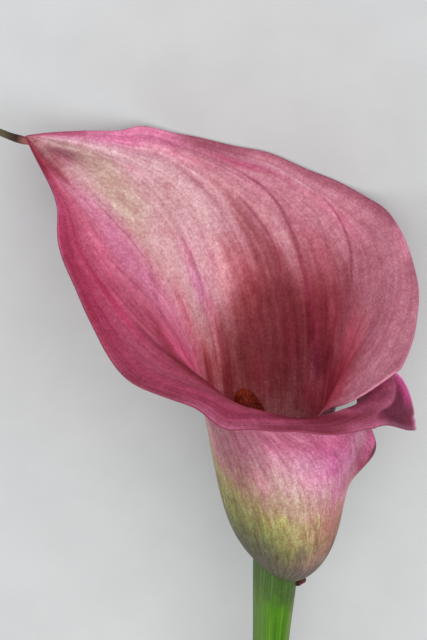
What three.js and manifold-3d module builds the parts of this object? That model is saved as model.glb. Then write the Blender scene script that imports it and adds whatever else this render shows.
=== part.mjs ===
// A cut calla lily lying on its back: the stem, the spadix and the one rolled leaf round it, the spathe.
//
// Lengths are millimetres and angles are degrees. The flower is described standing up: the stem's axis is Z,
// the spathe is joined to the stem at the origin, X runs to the viewer's right and Y away from the viewer.
// The group at the end of the file lays the flower down.

import * as THREE from 'three';
import { mergeVertices } from 'three/addons/utils/BufferGeometryUtils.js';
import Module from 'manifold-3d';

const wasm = await Module();
wasm.setup();

// Spathe

// The leaf's midrib runs up at this angle round the stem, counted from the viewer's right.
const MIDRIB_AZIMUTH = 158;
const SHEET_THICKNESS = 1.0;
const MARGIN_THICKNESS = 0.8;
const BASE_RADIUS = 4.6;
// The outer margin starts this much outside the base ring, and the inner margin as much inside it.
const COIL_STEP = 0.8;
// The base ring is tilted: high on the left, low on the right.
const BASE_HEIGHT = 4.9;
const BASE_TILT = 0.67;
// The leaf's slope turns from the base's to the tube's over this distance.
const BELLY = 21;

// The leaf is drawn by lines that climb from its base. Each station is one of them, "turn" degrees round the
// stem from the midrib: below zero on the far side, which ends as the inner margin, above zero on the near
// side, which ends as the outer margin. A line is "length" long. It leaves the base at the slope "base",
// follows the tube at the slope "tube", and after "flare" millimetres bends within "bend" millimetres to
// the slope "rim", where 0 is level and less than 0 hangs down.
const STATIONS = [
  { turn: -210, length: 66, base: 50, tube: 88, flare: 33, bend: 21, rim: 29 },
  { turn: -160, length: 75, base: 50, tube: 85, flare: 37, bend: 40, rim: 33 },
  { turn: -110, length: 82, base: 50, tube: 81, flare: 38, bend: 57, rim: 35 },
  { turn: -55, length: 88, base: 50, tube: 79, flare: 41, bend: 70, rim: 42 },
  { turn: 0, length: 88, base: 47, tube: 79, flare: 40, bend: 65, rim: 27 },
  { turn: 55, length: 77, base: 45, tube: 79, flare: 38, bend: 48, rim: -4 },
  { turn: 110, length: 63, base: 40, tube: 81, flare: 38, bend: 35, rim: -32 },
  { turn: 160, length: 61, base: 33, tube: 83, flare: 43, bend: 23, rim: -49 },
  { turn: 215, length: 57, base: 25, tube: 81, flare: 47, bend: 16, rim: -72 },
];

// The rim isn't even: near these turns the lines are this much longer or shorter.
const RIPPLES = [
  { turn: -167, longer: -0.2, spread: 7 },
  { turn: -142, longer: -0.2, spread: 8 },
  { turn: -112, longer: -0.5, spread: 8 },
  { turn: -100, longer: -2.0, spread: 9 },
  { turn: -92, longer: -0.4, spread: 6 },
  { turn: -84, longer: -0.8, spread: 9 },
  { turn: -65, longer: 0.6, spread: 8 },
  { turn: -37, longer: 0.4, spread: 10 },
  { turn: -27, longer: 0.7, spread: 5 },
  { turn: -22, longer: 1.4, spread: 9 },
  { turn: -19, longer: -0.9, spread: 5 },
  { turn: 10, longer: -4.6, spread: 9 },
  { turn: 22, longer: -1.3, spread: 9 },
  { turn: 34, longer: -2.1, spread: 9 },
  { turn: 46, longer: -1.5, spread: 9 },
  { turn: 66, longer: 1.3, spread: 8 },
  { turn: 76, longer: -0.7, spread: 9 },
  { turn: 83, longer: -0.8, spread: 5 },
  { turn: 94, longer: 2.0, spread: 6 },
  { turn: 119, longer: -1.1, spread: 9 },
  { turn: 156, longer: 0.6, spread: 4 },
  { turn: 166, longer: -0.7, spread: 7 },
];

// The leaf runs out into a point at the midrib.
const POINT_LENGTH = 23;
const POINT_WIDTH = 21;

// Where the two margins end, in degrees from the midrib, against the share of the way from base to rim.
const INNER_MARGIN = [[0, 214], [0.5, 207], [0.7, 207], [0.85, 205], [1, 191.5]];
const OUTER_MARGIN = [[0, 212], [0.35, 216], [0.6, 222], [0.8, 213], [1, 184]];

// The outer margin's top corner grows longer and folds down like an ear.
const EAR_START = 157;
const EAR_GROWTH = 0.27;
const EAR_SLOPE = -6;
const EAR_BEND = 5;

// Lower down, the outer margin curls away from the tube, more sharply below its widest place than above.
const CURL_OUT = 5.4;
const CURL_PLACE = 0.455;
const CURL_BELOW = 0.055;
const CURL_ABOVE = 0.08;
const CURL_START = 190;
const CURL_WIDTH = 26;

// The tube is a little narrower under the near side of the mouth.
const WAIST_IN = 0.5;
const WAIST_TURN = 25;
const WAIST_SPREAD = 45;
const WAIST_PLACE = 0.44;
const WAIST_HEIGHT = 0.12;

// Two waves in the far rim, on which the flower lies.
const WAVES = [
  { turn: -34, out: 2.1, spread: 18 },
  { turn: -100, out: 5.4, spread: 18 },
];

// The point ends in a thin tail.
const TAIL_LENGTH = 13;
const TAIL_RISE = 3;
const TAIL_RADIUS_START = 0.8;
const TAIL_RADIUS_END = 0.5;

// Stem
const STEM_LENGTH = 180;
const STEM_RADIUS = 4.0;
const STEM_TOP_RADIUS = 4.8;
const STEM_FLARE = 18;
const STEM_LEAN = 2.8;
const STEM_GAP = 0.7;

// Spadix
const SPADIX_TOP = 47;
const SPADIX_RADIUS = 3.9;
const SPADIX_FOOT_RADIUS = 2.5;
const SPADIX_GAP = 0.3;
const FLORET_RELIEF = 0.3;

// How the flower lies: tipped back until its far rim and the stem's cut end touch the surface.
const TIP_BACK = 83.61;
const ROLL = -0.19;

const rad = THREE.MathUtils.degToRad;
const smooth = (t) => THREE.MathUtils.smoothstep(t, 0, 1);

// A smooth curve through the given points, level with its end slopes outside them.
function through(xs, ys, x) {
  const n = xs.length;
  const at = Math.min(Math.max(x, xs[0]), xs[n - 1]);
  let i = 0;
  while (i < n - 2 && at >= xs[i + 1]) i += 1;
  const rise = (k) => (ys[k + 1] - ys[k]) / (xs[k + 1] - xs[k]);
  const slope = (k) => {
    if (k === 0) return rise(0);
    if (k === n - 1) return rise(n - 2);
    const before = xs[k] - xs[k - 1];
    const after = xs[k + 1] - xs[k];
    return (rise(k - 1) * after + rise(k) * before) / (before + after);
  };
  const width = xs[i + 1] - xs[i];
  const t = (at - xs[i]) / width;
  const s = 1 - t;
  return (1 + 2 * t) * s * s * ys[i] + t * s * s * width * slope(i)
    + t * t * (3 - 2 * t) * ys[i + 1] + t * t * (t - 1) * width * slope(i + 1);
}

const bell = (x, middle, spread) => Math.exp(-(((x - middle) / spread) ** 2));
const stationTurns = STATIONS.map((s) => s.turn);
const station = (key, turn) => through(stationTurns, STATIONS.map((s) => s[key]), turn);
const marginAt = (margin, q) => through(margin.map((m) => m[0]), margin.map((m) => m[1]), q);

const cache = new Map();
function line(turn) {
  if (!cache.has(turn)) {
    const values = {};
    for (const key of ['length', 'base', 'tube', 'flare', 'bend', 'rim']) values[key] = station(key, turn);
    for (const r of RIPPLES) values.length += r.longer * bell(turn, r.turn, r.spread);
    cache.set(turn, values);
  }
  return cache.get(turn);
}

// A point in the middle of the spathe's sheet. q runs from 0 at the base to 1 at the rim.
function sheet(turn, q) {
  const s = line(turn);
  const ear = Math.max(turn - EAR_START, 0);
  const full = s.length + POINT_LENGTH * Math.exp(-Math.abs(turn) / POINT_WIDTH) + EAR_GROWTH * ear;
  const azimuth = rad(MIDRIB_AZIMUTH + turn);
  const fold = EAR_SLOPE * smooth(ear / 12);
  let r = BASE_RADIUS + COIL_STEP * Math.tanh(turn / 110);
  let z = BASE_HEIGHT - BASE_TILT * r * Math.cos(azimuth);
  const steps = 60;
  const step = (q * full) / steps;
  for (let i = 0; i < steps; i += 1) {
    const along = (i + 0.5) * step;
    const up = 1 - Math.min(along / BELLY, 1);
    let slope = s.base + (s.tube - s.base) * (1 - up * up);
    slope += (s.rim - s.tube) * smooth((along - s.flare) / s.bend);
    slope += fold * smooth((along - s.length + 1) / EAR_BEND + 0.5);
    r += step * Math.cos(rad(slope));
    z += step * Math.sin(rad(slope));
  }
  const curl = bell(q, CURL_PLACE, q < CURL_PLACE ? CURL_BELOW : CURL_ABOVE);
  r += CURL_OUT * curl * smooth((turn - CURL_START) / CURL_WIDTH);
  r -= WAIST_IN * bell(turn, WAIST_TURN, WAIST_SPREAD) * bell(q, WAIST_PLACE, WAIST_HEIGHT);
  for (const w of WAVES) r += w.out * bell(turn, w.turn, w.spread) * q ** 6;
  return new THREE.Vector3(r * Math.cos(azimuth), r * Math.sin(azimuth), z);
}

// The turn at a place across the leaf: -1 is the inner margin, 0 the midrib, 1 the outer margin.
function turnAt(across, q) {
  return across < 0 ? across * marginAt(INNER_MARGIN, q) : across * marginAt(OUTER_MARGIN, q);
}

function sheetNormal(across, q) {
  const e = 0.004;
  const a0 = Math.max(across - e, -1);
  const a1 = Math.min(across + e, 1);
  const q0 = Math.max(q - e, 0);
  const q1 = Math.min(q + e, 1);
  const side = sheet(turnAt(a1, q), q).sub(sheet(turnAt(a0, q), q));
  const up = sheet(turnAt(across, q1), q1).sub(sheet(turnAt(across, q0), q0));
  return side.cross(up).normalize();
}

const COLUMNS = 88;
const ROWS = 28;

function spatheGeometry() {
  const points = [];
  const index = [];
  for (const face of [1, -1]) {
    for (let i = 0; i <= COLUMNS; i += 1) {
      const c = (2 * i) / COLUMNS - 1;
      const across = Math.sign(c) * Math.abs(c) ** 1.25;
      for (let j = 0; j <= ROWS; j += 1) {
        const q = j / ROWS;
        const toEdge = Math.min(smooth((1 - Math.abs(across)) * 12), smooth((1 - q) * 12));
        const half = (MARGIN_THICKNESS + (SHEET_THICKNESS - MARGIN_THICKNESS) * toEdge) / 2;
        const p = sheet(turnAt(across, q), q).addScaledVector(sheetNormal(across, q), face * half);
        points.push(p.x, p.y, p.z);
      }
    }
  }
  const per = ROWS + 1;
  const back = (COLUMNS + 1) * per;
  const at = (i, j) => i * per + j;
  for (let i = 0; i < COLUMNS; i += 1) {
    for (let j = 0; j < ROWS; j += 1) {
      const a = at(i, j);
      const b = at(i + 1, j);
      const c = at(i + 1, j + 1);
      const d = at(i, j + 1);
      // the short diagonal of the midrib's two sides mirrors itself
      const split = i < COLUMNS / 2 ? [a, b, c, a, c, d] : [a, b, d, b, c, d];
      for (let k = 0; k < 6; k += 3) {
        index.push(split[k], split[k + 1], split[k + 2]);
        index.push(back + split[k], back + split[k + 2], back + split[k + 1]);
      }
    }
  }
  const edge = (p, q) => index.push(p, back + q, q, p, back + p, back + q);
  for (let i = 0; i < COLUMNS; i += 1) {
    edge(at(i, 0), at(i + 1, 0));
    edge(at(i + 1, ROWS), at(i, ROWS));
  }
  for (let j = 0; j < ROWS; j += 1) {
    edge(at(COLUMNS, j), at(COLUMNS, j + 1));
    edge(at(0, j + 1), at(0, j));
  }
  const geometry = new THREE.BufferGeometry();
  geometry.setAttribute('position', new THREE.Float32BufferAttribute(points, 3));
  geometry.setIndex(index);
  return geometry;
}

// A closed body through rings of points, each ring anticlockwise as seen from beyond its own end.
function loft(rings) {
  const points = [];
  const index = [];
  const n = rings[0].length;
  for (const ring of rings) for (const p of ring) points.push(p.x, p.y, p.z);
  for (let k = 0; k < rings.length - 1; k += 1) {
    for (let i = 0; i < n; i += 1) {
      const a = k * n + i;
      const b = k * n + ((i + 1) % n);
      index.push(a, b, b + n, a, b + n, a + n);
    }
  }
  for (const [k, turned] of [[0, true], [rings.length - 1, false]]) {
    const middle = rings[k].reduce((sum, p) => sum.add(p), new THREE.Vector3()).divideScalar(n);
    points.push(middle.x, middle.y, middle.z);
    const m = points.length / 3 - 1;
    for (let i = 0; i < n; i += 1) {
      const a = k * n + i;
      const b = k * n + ((i + 1) % n);
      index.push(m, turned ? b : a, turned ? a : b);
    }
  }
  const geometry = new THREE.BufferGeometry();
  geometry.setAttribute('position', new THREE.Float32BufferAttribute(points, 3));
  geometry.setIndex(index);
  return geometry;
}

function tailGeometry() {
  const tip = sheet(0, 1);
  const inside = sheet(0, 0.975);
  const out = tip.clone().sub(inside).setZ(0).normalize();
  const path = new THREE.QuadraticBezierCurve3(
    inside,
    tip.clone().addScaledVector(out, TAIL_LENGTH * 0.4),
    tip.clone().addScaledVector(out, TAIL_LENGTH).add(new THREE.Vector3(0, 0, TAIL_RISE)),
  );
  const rings = [];
  for (let k = 0; k <= 10; k += 1) {
    const t = k / 10;
    const centre = path.getPoint(t);
    const along = path.getTangent(t);
    const side = new THREE.Vector3(0, 0, 1).cross(along).normalize();
    const up = along.clone().cross(side);
    const radius = THREE.MathUtils.lerp(TAIL_RADIUS_START, TAIL_RADIUS_END, t);
    const ring = [];
    for (let i = 0; i < 10; i += 1) {
      const a = (i / 10) * 2 * Math.PI;
      ring.push(centre.clone().addScaledVector(side, radius * Math.cos(a)).addScaledVector(up, radius * Math.sin(a)));
    }
    rings.push(ring);
  }
  return loft(rings);
}

// The oblique seat on the stem's top, parallel to the spathe's base ring.
const seatHeight = (x) => BASE_HEIGHT - STEM_GAP - BASE_TILT * x;

// The stem's axis bends gently: it leans near the flower and straightens further down.
function stemAxis(z) {
  const below = Math.max(-z, 0);
  return -Math.tan(rad(STEM_LEAN)) * below * (1 - (0.35 * below) / STEM_LENGTH);
}

function stemGeometry() {
  const rings = [];
  const heights = [-180, -150, -120, -90, -65, -45, -30, -20, -13, -8, -4, 0].map((z) => (z * STEM_LENGTH) / 180);
  for (const z of heights) {
    const nearTop = smooth((z + STEM_FLARE) / STEM_FLARE);
    const radius = STEM_RADIUS + (STEM_TOP_RADIUS - STEM_RADIUS) * nearTop;
    const ring = [];
    for (let i = 0; i < 24; i += 1) {
      const a = (i / 24) * 2 * Math.PI;
      const x = radius * Math.cos(a);
      // the rings turn little by little from level to the seat's tilt
      ring.push(new THREE.Vector3(stemAxis(z) + x, radius * Math.sin(a), z + nearTop * seatHeight(x)));
    }
    rings.push(ring);
  }
  return loft(rings);
}

function spadixGeometry() {
  const around = 30;
  const path = new THREE.CatmullRomCurve3([
    new THREE.Vector3(0, 0, BASE_HEIGHT),
    new THREE.Vector3(-0.8, 0.2, 0.32 * SPADIX_TOP),
    new THREE.Vector3(-3.3, 1.0, 0.65 * SPADIX_TOP),
    new THREE.Vector3(-7.2, 2.2, SPADIX_TOP),
  ]);
  const foot = path.getPoint(0).z;
  const rings = [];
  const levels = 34;
  for (let k = 0; k < levels; k += 1) {
    const t = (k / levels) * 0.998;
    const centre = path.getPoint(t);
    const along = path.getTangent(t);
    const side = new THREE.Vector3(0, 1, 0).cross(along).normalize();
    const away = along.clone().cross(side);
    const body = THREE.MathUtils.lerp(SPADIX_FOOT_RADIUS, SPADIX_RADIUS, smooth(t / 0.25));
    const end = Math.sqrt(Math.max(1 - Math.max((t - 0.84) / 0.16, 0) ** 2, 0));
    const ring = [];
    for (let i = 0; i < around; i += 1) {
      const a = (i / around) * 2 * Math.PI;
      // florets stand in two sets of spirals
      const floret = Math.cos(10 * a + 60 * t) * Math.cos(5 * a - 75 * t);
      const radius = (body * end) + FLORET_RELIEF * floret * smooth((t - 0.08) / 0.1) * end;
      const p = centre.clone().addScaledVector(side, radius * Math.cos(a)).addScaledVector(away, radius * Math.sin(a));
      // the foot follows the stem's oblique seat
      const seat = seatHeight(p.x) + SPADIX_GAP;
      p.z = THREE.MathUtils.lerp(seat + (p.z - foot), p.z, smooth((p.z - foot) / 12));
      ring.push(p);
    }
    rings.push(ring);
  }
  return loft(rings);
}

function toSolid(geometry) {
  const merged = mergeVertices(geometry, 1e-4);
  return new wasm.Manifold(new wasm.Mesh({
    numProp: 3,
    vertProperties: new Float32Array(merged.attributes.position.array),
    triVerts: new Uint32Array(merged.index.array),
  }));
}

function toGeometry(solid) {
  const mesh = solid.getMesh();
  const geometry = new THREE.BufferGeometry();
  geometry.setAttribute('position', new THREE.BufferAttribute(new Float32Array(mesh.vertProperties), 3));
  geometry.setIndex(new THREE.BufferAttribute(new Uint32Array(mesh.triVerts), 1));
  return geometry;
}

function part(name, geometry, colour, roughness) {
  geometry.computeVertexNormals();
  const mesh = new THREE.Mesh(geometry, new THREE.MeshStandardMaterial({ color: colour, roughness, metalness: 0 }));
  mesh.name = name;
  return mesh;
}

const flower = new THREE.Group();
flower.add(part('stem', stemGeometry(), 0x6c9440, 0.5));
flower.add(part('spathe', toGeometry(toSolid(spatheGeometry()).add(toSolid(tailGeometry()))), 0xb5637f, 0.45));
flower.add(part('spadix', spadixGeometry(), 0x7c3418, 0.7));

// Laid on its back, with the stem towards -Y and the flower's mouth facing up.
flower.rotation.set(rad(-TIP_BACK), 0, rad(ROLL));
flower.updateMatrixWorld(true);
const box = new THREE.Box3().setFromObject(flower, true);
flower.position.set(-(box.min.x + box.max.x) / 2, -(box.min.y + box.max.y) / 2, -box.min.z);

const scene = new THREE.Group();
scene.add(flower);

export default scene;
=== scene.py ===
# A cut calla lily lying on its back on a pale floor: stem, spadix and the one rolled leaf round it, the spathe.
import math

import bpy
import numpy as np
from mathutils import Matrix, Vector


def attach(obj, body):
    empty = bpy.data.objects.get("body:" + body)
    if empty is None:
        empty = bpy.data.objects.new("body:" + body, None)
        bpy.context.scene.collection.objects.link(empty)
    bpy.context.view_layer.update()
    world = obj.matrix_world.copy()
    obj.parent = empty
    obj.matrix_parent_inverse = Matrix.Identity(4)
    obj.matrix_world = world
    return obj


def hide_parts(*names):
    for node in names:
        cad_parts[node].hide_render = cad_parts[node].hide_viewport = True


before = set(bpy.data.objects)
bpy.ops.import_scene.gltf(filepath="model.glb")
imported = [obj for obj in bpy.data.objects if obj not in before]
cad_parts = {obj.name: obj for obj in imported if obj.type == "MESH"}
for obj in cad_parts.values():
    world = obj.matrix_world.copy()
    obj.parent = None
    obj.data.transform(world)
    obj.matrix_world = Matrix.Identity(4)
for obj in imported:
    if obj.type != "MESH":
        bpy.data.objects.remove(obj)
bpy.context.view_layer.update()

# Lengths are millimetres and angles are degrees unless a name says otherwise. As in the CAD, the flower is
# described standing up: the stem's axis is Z, the spathe is joined to the stem at the origin, X runs to the
# viewer's right and Y away from the viewer. lay_down() turns such a point into the row's frame, in metres.
MM = 0.001
TIP_BACK = 83.61
ROLL = -0.19
FLOWER_AT = np.array([17.95, 38.21, 24.03])
rng = np.random.default_rng(7)

lay = np.array(Matrix.Rotation(math.radians(-TIP_BACK), 3, "X") @ Matrix.Rotation(math.radians(ROLL), 3, "Z"))


def lay_down(points):
    return (np.asarray(points) @ lay.T + FLOWER_AT) * MM


def smooth(t):
    t = np.clip(t, 0, 1)
    return t * t * (3 - 2 * t)


def bell(x, middle, width):
    return np.exp(-(((x - middle) / width) ** 2))


def through(x, xs, ys):
    """A smooth curve through the given points."""
    xs, ys = np.asarray(xs, float), np.asarray(ys, float)
    x = np.clip(x, xs[0], xs[-1])
    h, rise = np.diff(xs), np.diff(ys) / np.diff(xs)
    slope = np.concatenate([rise[:1], (rise[:-1] * h[1:] + rise[1:] * h[:-1]) / (h[:-1] + h[1:]), rise[-1:]])
    i = np.clip(np.searchsorted(xs, x, side="right") - 1, 0, len(xs) - 2)
    w = h[i]
    t = (x - xs[i]) / w
    s = 1 - t
    return ((1 + 2 * t) * s * s * ys[i] + t * s * s * w * slope[i]
            + t * t * (3 - 2 * t) * ys[i + 1] + t * t * (t - 1) * w * slope[i + 1])


# ---------------------------------------------------------------- the spathe's sheet, as in the CAD

MIDRIB_AZIMUTH = 158
BASE_RADIUS = 4.6
COIL_STEP, COIL_TURN = 0.8, 110
BASE_HEIGHT = 4.9
BASE_TILT = 0.67
BELLY = 21
TURNS = [-210, -160, -110, -55, 0, 55, 110, 160, 215]
LENGTH = [66, 75, 82, 88, 88, 77, 63, 61, 57]
BASE = [50, 50, 50, 50, 47, 45, 40, 33, 25]
TUBE = [88, 85, 81, 79, 79, 79, 81, 83, 81]
FLARE = [33, 37, 38, 41, 40, 38, 38, 43, 47]
BEND = [21, 40, 57, 70, 65, 48, 35, 23, 16]
RIM = [29, 33, 35, 42, 27, -4, -32, -49, -72]
RIPPLES = [  # turn, how much longer the sheet is there, spread
    (-167, -0.2, 7), (-142, -0.2, 8), (-112, -0.5, 8), (-100, -2.0, 9), (-92, -0.4, 6), (-84, -0.8, 9),
    (-65, 0.6, 8), (-37, 0.4, 10), (-27, 0.7, 5), (-22, 1.4, 9), (-19, -0.9, 5), (10, -4.6, 9),
    (22, -1.3, 9), (34, -2.1, 9), (46, -1.5, 9), (66, 1.3, 8), (76, -0.7, 9), (83, -0.8, 5),
    (94, 2.0, 6), (119, -1.1, 9), (156, 0.6, 4), (166, -0.7, 7),
]
POINT_LENGTH, POINT_WIDTH = 23, 21
INNER_MARGIN = [0, 0.5, 0.7, 0.85, 1], [214, 207, 207, 205, 191.5]
OUTER_MARGIN = [0, 0.35, 0.6, 0.8, 1], [212, 216, 222, 213, 184]
EAR_START, EAR_TURN, EAR_GROWTH, EAR_SLOPE, EAR_BEND, EAR_EARLY = 157, 12, 0.27, -6, 5, 1
CURL_OUT, CURL_PLACE, CURL_BELOW, CURL_ABOVE, CURL_START, CURL_WIDTH = 5.4, 0.455, 0.055, 0.08, 190, 26
WAIST_IN, WAIST_AT, WAIST_SPREAD, WAIST_PLACE, WAIST_HEIGHT = 0.5, 25, 45, 0.44, 0.12
WAVES, WAVE_RISE = [(-34, 2.1, 18), (-100, 5.4, 18)], 6  # turn, how far the sheet stands out there, spread


def line_lengths(turn):
    """How long the sheet is from base to rim: without and with its point and its ear."""
    length = through(turn, TURNS, LENGTH)
    for at, longer, spread in RIPPLES:
        length = length + longer * bell(turn, at, spread)
    ear = np.clip(turn - EAR_START, 0, None)
    return length, length + POINT_LENGTH * np.exp(-np.abs(turn) / POINT_WIDTH) + EAR_GROWTH * ear


def ear_share(turn):
    return smooth((turn - EAR_START) / EAR_TURN)


def sheet(turn, q, steps=60):
    """A point in the middle of the sheet, "turn" degrees round from the midrib and q of the way to the rim."""
    length, full = line_lengths(turn)
    base, tube, rim = (through(turn, TURNS, v) for v in (BASE, TUBE, RIM))
    flare, bend = through(turn, TURNS, FLARE), through(turn, TURNS, BEND)
    azimuth = np.radians(MIDRIB_AZIMUTH + turn)
    fold = EAR_SLOPE * ear_share(turn)
    r = BASE_RADIUS + COIL_STEP * np.tanh(turn / COIL_TURN)
    z = BASE_HEIGHT - BASE_TILT * r * np.cos(azimuth)
    step = q * full / steps
    for i in range(steps):
        along = (i + 0.5) * step
        up = 1 - np.clip(along / BELLY, 0, 1)
        slope = base + (tube - base) * (1 - up * up)
        slope = slope + (rim - tube) * smooth((along - flare) / bend)
        slope = np.radians(slope + fold * smooth((along - length + EAR_EARLY) / EAR_BEND + 0.5))
        r = r + step * np.cos(slope)
        z = z + step * np.sin(slope)
    curl = bell(q, CURL_PLACE, np.where(q < CURL_PLACE, CURL_BELOW, CURL_ABOVE))
    r = r + CURL_OUT * curl * smooth((turn - CURL_START) / CURL_WIDTH)
    r = r - WAIST_IN * bell(turn, WAIST_AT, WAIST_SPREAD) * bell(q, WAIST_PLACE, WAIST_HEIGHT)
    for at, out, spread in WAVES:
        r = r + out * bell(turn, at, spread) * q ** WAVE_RISE
    return np.stack([r * np.cos(azimuth), r * np.sin(azimuth), z], -1)


def margin_turn(side, q):
    return np.where(side < 0, through(q, *INNER_MARGIN), through(q, *OUTER_MARGIN))


# ---------------------------------------------------------------- meshes

def make_mesh(name, points, faces, attributes, slots=None):
    """A piece of the flower, with one value a point for each attribute and a material slot for each face."""
    mesh = bpy.data.meshes.new(name)
    points = lay_down(points)
    points[:, 2] = np.maximum(points[:, 2], 0.0)
    mesh.from_pydata(points.tolist(), [], faces)
    mesh.validate()
    if slots is not None:
        mesh.polygons.foreach_set("material_index", slots)
    for key, values in attributes.items():
        made = mesh.attributes.new(key, "FLOAT", "POINT")
        made.data.foreach_set("value", np.asarray(values, np.float32).ravel())
    mesh.polygons.foreach_set("use_smooth", [True] * len(mesh.polygons))
    mesh.update()
    piece = bpy.data.objects.new(name, mesh)
    bpy.context.scene.collection.objects.link(piece)
    return piece


def ring_faces(rings, around):
    faces = []
    for k in range(rings - 1):
        for i in range(around):
            a, b = k * around + i, k * around + (i + 1) % around
            faces.append((a, b, b + around, a + around))
    return faces


def closed_rings(rings, around):
    """As ring_faces, with one face over the first ring and one over the last."""
    ends = [tuple(range(around))[::-1], tuple((rings - 1) * around + i for i in range(around))]
    return ring_faces(rings, around) + ends


def angles(count):
    return np.linspace(0, 2 * np.pi, count, endpoint=False)


def each_round(values, around):
    """One value a ring, repeated for each point of the ring."""
    return np.repeat(np.asarray(values)[:, None], around, 1)


def unit(vectors):
    return vectors / np.linalg.norm(vectors, axis=1, keepdims=True)


def rings_along(path, radii, beside):
    """Rings square to a path, the first point of each also square to "beside". radii has one row a ring."""
    along = unit(np.gradient(path, axis=0))
    side = unit(np.cross(beside, along))
    other = np.cross(along, side)
    a = angles(radii.shape[1])
    ring = side[:, None] * np.cos(a)[None, :, None] + other[:, None] * np.sin(a)[None, :, None]
    return path[:, None] + ring * radii[..., None]


def bezier(a, b, c, t):
    t = t[:, None]
    return (1 - t) ** 2 * a + 2 * t * (1 - t) * b + t * t * c


def swept(name, path, radii):
    """A closed body of round rings along a path."""
    n, around = radii.shape
    points = np.concatenate([rings_along(path, radii, (0, 0, 1)).reshape(-1, 3), path[:1], path[-1:]])
    faces = ring_faces(n, around)
    for i in range(around):
        j = (i + 1) % around
        faces.append((n * around, j, i))
        faces.append((n * around + 1, (n - 1) * around + i, (n - 1) * around + j))
    along = np.append(each_round(np.linspace(0, 1, n), around), [0, 1])
    return make_mesh(name, points, faces, {"along": along})


def colour(r, g, b):
    """A colour as seen on a screen, from 0 to 255, as linear light."""
    def linear(v):
        v /= 255
        return v / 12.92 if v <= 0.04045 else ((v + 0.055) / 1.055) ** 2.4
    return (linear(r), linear(g), linear(b), 1.0)


# ---------------------------------------------------------------- where the petal's colours lie

# The ground colour: across the petal on the inside, up the petal on the outside. Across runs from 0 at the far
# margin through 0.5 at the midrib to 1 at the near margin, and up from 0 at the base to 1 at the rim.
INSIDE_GROUND = [
    (0.0, colour(194, 119, 137)),
    (0.1, colour(190, 116, 132)),
    (0.22, colour(184, 114, 129)),
    (0.3, colour(194, 126, 138)),
    (0.35, colour(206, 148, 158)),
    (0.4, colour(213, 162, 168)),
    (0.5, colour(206, 154, 158)),
    (0.55, colour(206, 128, 150)),
    (0.6, colour(194, 94, 122)),
    (0.67, colour(176, 73, 100)),
    (0.8, colour(158, 62, 87)),
    (0.9, colour(150, 59, 82)),
    (1.0, colour(170, 84, 114)),
]
OUTSIDE_GROUND = [
    (0.0, colour(84, 84, 62)),
    (0.1, colour(92, 84, 70)),
    (0.17, colour(108, 100, 72)),
    (0.25, colour(134, 122, 78)),
    (0.33, colour(160, 140, 98)),
    (0.41, colour(180, 148, 128)),
    (0.5, colour(194, 148, 148)),
    (0.58, colour(196, 136, 148)),
    (0.68, colour(186, 104, 130)),
    (0.85, colour(182, 92, 122)),
    (1.0, colour(168, 80, 108)),
]

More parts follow.
